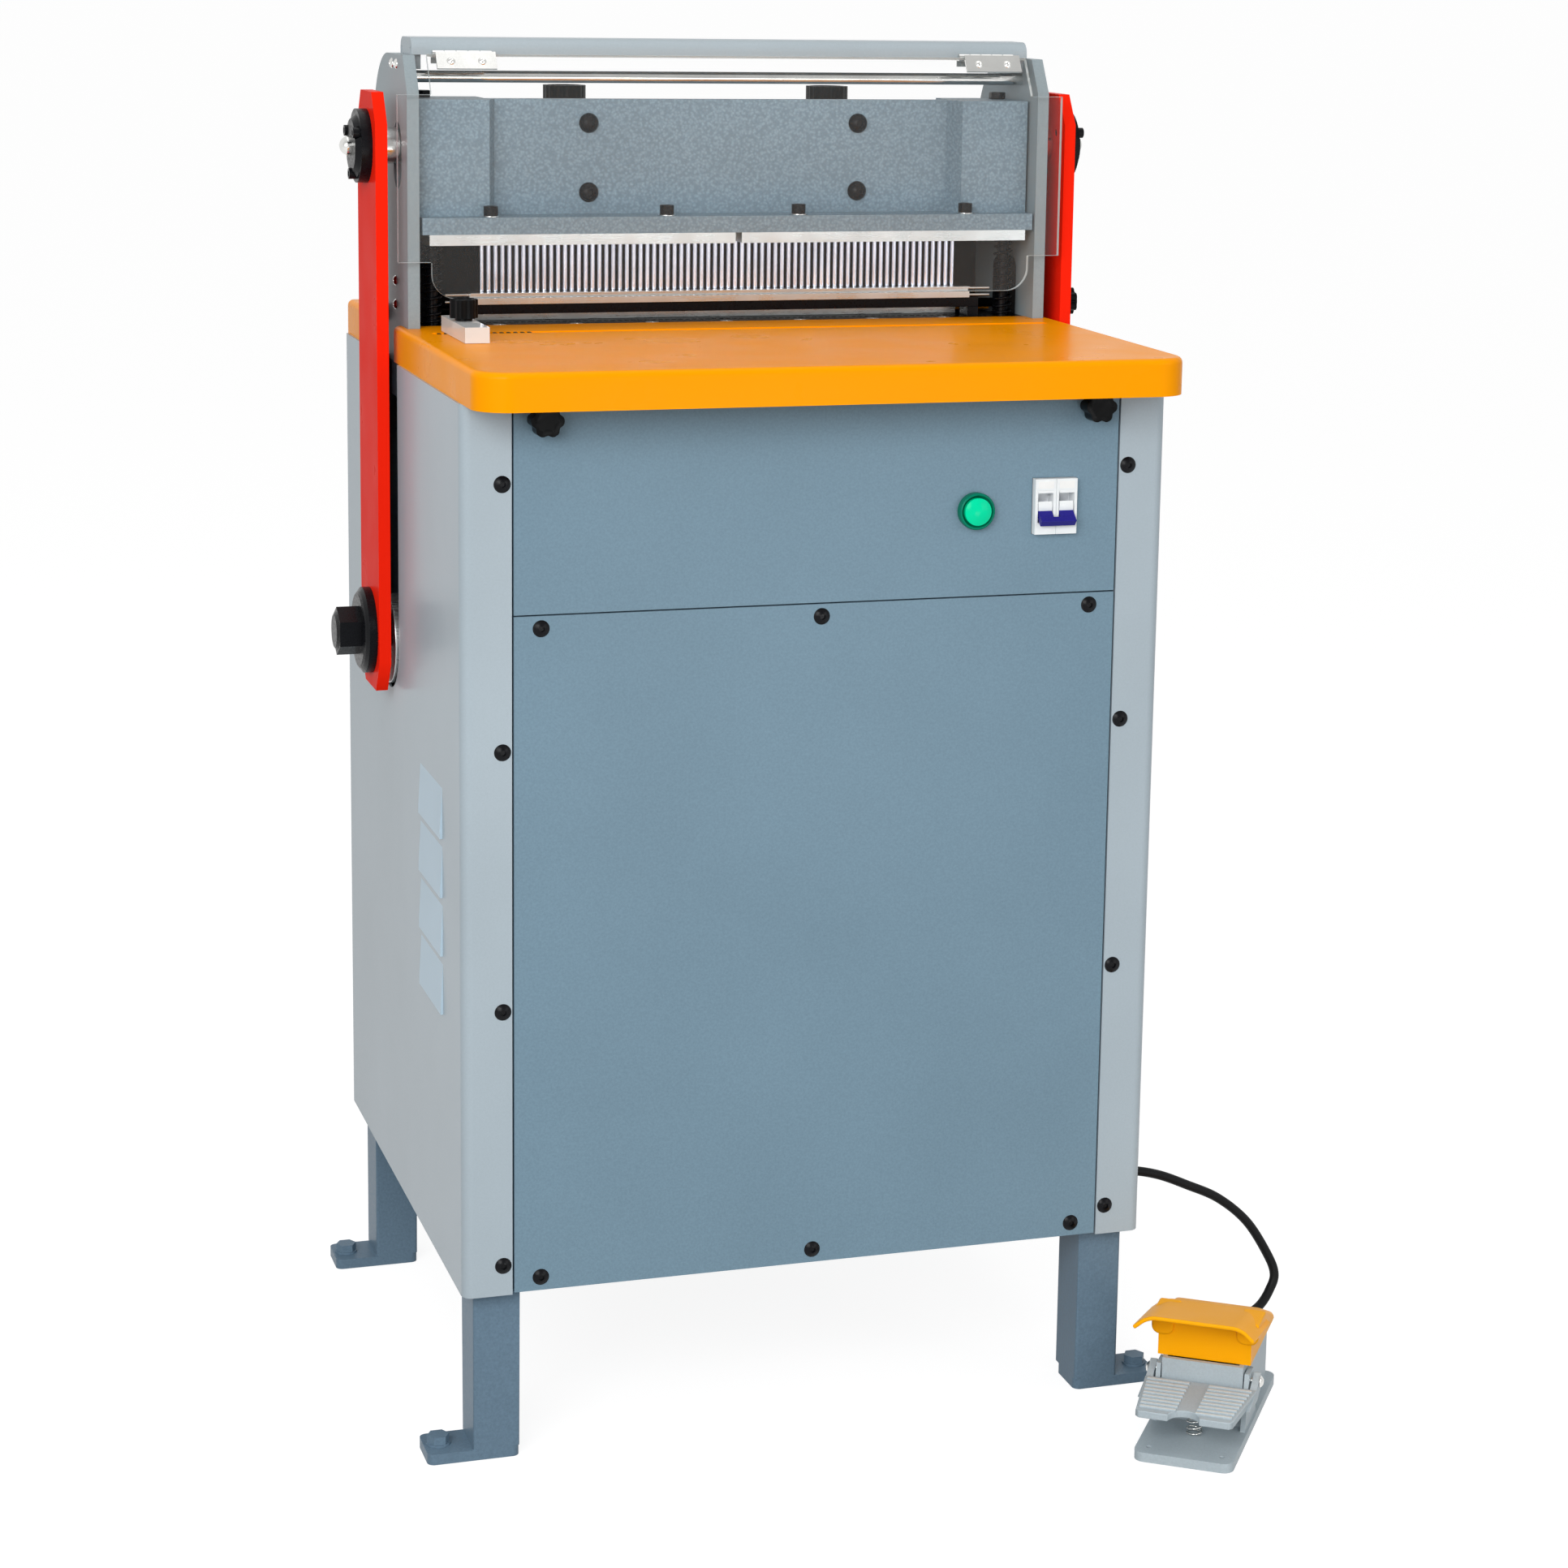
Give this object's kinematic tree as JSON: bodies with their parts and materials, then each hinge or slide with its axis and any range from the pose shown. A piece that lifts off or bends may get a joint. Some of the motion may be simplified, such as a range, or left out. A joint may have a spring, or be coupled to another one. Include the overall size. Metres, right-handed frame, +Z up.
{
  "type": "electric paper punching machine",
  "caption": "Free-standing electric paper punching press: pin row under a driven beam, orange feed table, clear hinged guard, red side links and a corded foot switch.",
  "frame": {"origin": "on the floor, midway across the machine and midway between the table's front edge and the cabinet's back", "axes": "+Z up, the operator's side faces -Y, +X to the operator's right"},
  "size_m": [0.7854, 0.6878, 1.127],
  "materials": {
    "frame_paint": "hammered grey paint, semi-matt",
    "panel_paint": "light grey powder coat, semi-gloss",
    "front_paint": "blue-grey textured powder coat",
    "cover_paint": "light grey paint, satin",
    "hammertone": "hammertone grey paint",
    "orange_paint": "orange enamel, gloss",
    "red_paint": "red enamel, gloss",
    "black_oxide": "black oxide",
    "bright_plate": "bright plating",
    "ground_steel": "ground steel",
    "cast_drive": "machined cast iron",
    "motor_paint": "blue machine paint",
    "clutch_metal": "lacquered coil and steel",
    "belt_rubber": "moulded rubber",
    "clear_sheet": "clear acrylic sheet, polished",
    "clear_block": "clear acrylic block",
    "black_plastic": "moulded black plastic",
    "lamp_body": "dark green plastic",
    "lamp_green": "translucent green plastic",
    "breaker_white": "white moulded plastic",
    "breaker_blue": "blue moulded plastic",
    "pedal_metal": "cast aluminium, satin",
    "pedal_yellow": "yellow-orange enamel",
    "cord_jacket": "black flexible cord jacket"
  },
  "bodies": {
    "base": {"base_frame": "frame_paint", "motor_plate": "frame_paint", "floor_bolts": "bright_plate", "left_side_panel": "panel_paint", "right_side_panel": "panel_paint", "control_panel": "front_paint", "lower_front_panel": "front_paint", "rear_panel": "panel_paint", "panel_screws": "black_oxide", "table": "orange_paint", "rear_top_cover": "orange_paint", "head_plates": "hammertone", "head_screws": "bright_plate", "top_cover": "cover_paint", "guard_rod": "bright_plate", "hinge_leaves": "bright_plate", "die_bed": "black_oxide", "die_plate": "black_oxide", "guide_block": "black_oxide", "guide_bar": "bright_plate", "guide_columns": "black_oxide", "return_springs": "black_oxide", "rear_guard": "black_oxide", "lamp_bezel": "lamp_body", "lamp_lens": "lamp_green", "breaker_body": "breaker_white", "motor": "motor_paint", "drive_belts": "belt_rubber", "crank_bearings": "cast_drive", "cord_gland": "black_plastic", "pedal_base": "pedal_metal", "pedal_canopy": "pedal_yellow", "pedal_pivots": "bright_plate", "pedal_spring": "bright_plate", "pedal_cord": "cord_jacket"},
    "crank": {"crankshaft": "ground_steel", "clutch": "clutch_metal"},
    "flywheel": {"flywheel": "cast_drive"},
    "motor_rotor": {"motor_pulley": "cast_drive"},
    "beam": {"press_beam": "hammertone", "pressure_bars": "ground_steel", "punch_pins": "ground_steel", "beam_screws": "black_oxide", "pivot_pins": "bright_plate"},
    "beam_knob_left": {"left_beam_knob": "black_plastic"},
    "beam_knob_right": {"right_beam_knob": "black_plastic"},
    "link_pair": {"links": "red_paint", "hub_caps": "black_oxide", "hub_screws": "black_oxide", "crank_bolts": "black_oxide"},
    "guard": {"shield": "clear_sheet", "shield_hinges": "bright_plate"},
    "toggle": {"breaker_toggle": "breaker_blue"},
    "hand_knob_left": {"left_hand_knob": "black_plastic"},
    "hand_knob_right": {"right_hand_knob": "black_plastic"},
    "lay_guide": {"side_guide": "clear_block"},
    "lay_guide_knob": {"side_guide_knob": "black_plastic"},
    "margin_shaft": {"margin_knob": "black_plastic"},
    "gauge": {"back_gauge": "ground_steel"},
    "treadle": {"pedal_treadle": "pedal_metal"}
  },
  "joints": [
    {"name": "crank_turn", "type": "hinge", "parent": "base", "child": "crank", "pos_m": [0, 0.071, 0.622], "axis": [1, 0, 0], "range_deg": [0, 180]},
    {"name": "press_stroke", "type": "slide", "parent": "base", "child": "beam", "axis": [0, 0, -1], "range_m": [0, 0.016], "deforming": ["return_springs"]},
    {"name": "link_swing", "type": "hinge", "parent": "beam", "child": "link_pair", "pos_m": [0, 0.071, 1.038], "axis": [1, 0, 0], "range_deg": [-1.2, 1.2]},
    {"name": "flywheel_turn", "type": "hinge", "parent": "base", "child": "flywheel", "pos_m": [-0.105, 0.071, 0.622], "axis": [1, 0, 0], "continuous": true},
    {"name": "motor_turn", "type": "hinge", "parent": "base", "child": "motor_rotor", "pos_m": [-0.105, -0.039, 0.281], "axis": [1, 0, 0], "continuous": true},
    {"name": "guard_hinge", "type": "hinge", "parent": "base", "child": "guard", "pos_m": [0, 0.052, 1.114], "axis": [-1, 0, 0], "range_deg": [0, 100]},
    {"name": "breaker_throw", "type": "hinge", "parent": "base", "child": "toggle", "pos_m": [0.194, -0.226, 0.767], "axis": [-1, 0, 0], "range_deg": [0, 80]},
    {"name": "left_hand_knob_turn", "type": "hinge", "parent": "base", "child": "hand_knob_left", "pos_m": [-0.226, -0.229, 0.848], "axis": [0, -1, 0], "range_deg": [-180, 180]},
    {"name": "right_hand_knob_turn", "type": "hinge", "parent": "base", "child": "hand_knob_right", "pos_m": [0.226, -0.229, 0.848], "axis": [0, -1, 0], "range_deg": [-180, 180]},
    {"name": "left_beam_knob_turn", "type": "hinge", "parent": "beam", "child": "beam_knob_left", "pos_m": [-0.119, 0.155, 1.066], "axis": [0, 0, 1], "range_deg": [-180, 180]},
    {"name": "right_beam_knob_turn", "type": "hinge", "parent": "beam", "child": "beam_knob_right", "pos_m": [0.119, 0.155, 1.066], "axis": [0, 0, 1], "range_deg": [-180, 180]},
    {"name": "lay_guide_slide", "type": "slide", "parent": "base", "child": "lay_guide", "axis": [1, 0, 0], "range_m": [-0.01, 0.22]},
    {"name": "lay_guide_knob_turn", "type": "hinge", "parent": "lay_guide", "child": "lay_guide_knob", "pos_m": [-0.247, -0.036, 0.9033], "axis": [0, 0, 1], "range_deg": [-180, 180]},
    {"name": "margin_turn", "type": "hinge", "parent": "base", "child": "margin_shaft", "pos_m": [0, 0.121, 0.895], "axis": [1, 0, 0], "range_deg": [0, 180]},
    {"name": "gauge_slide", "type": "slide", "parent": "base", "child": "gauge", "axis": [0, -1, 0], "range_m": [0, 0.006]},
    {"name": "treadle_press", "type": "hinge", "parent": "base", "child": "treadle", "pos_m": [0.31697, -0.31247, 0.046], "axis": [0.8191, -0.5736, 0], "range_deg": [0, 8.5], "stiffness_Nm_per_rad": 10, "springref_deg": -5.73, "deforming": ["pedal_spring"]}
  ],
  "couplings": [
    {"joint": "press_stroke", "follows": "crank_turn", "m_per_rad": 0.0050929},
    {"joint": "motor_turn", "follows": "flywheel_turn", "ratio": 3.683},
    {"joint": "margin_turn", "follows": "gauge_slide", "rad_per_m": 523.6}
  ]
}
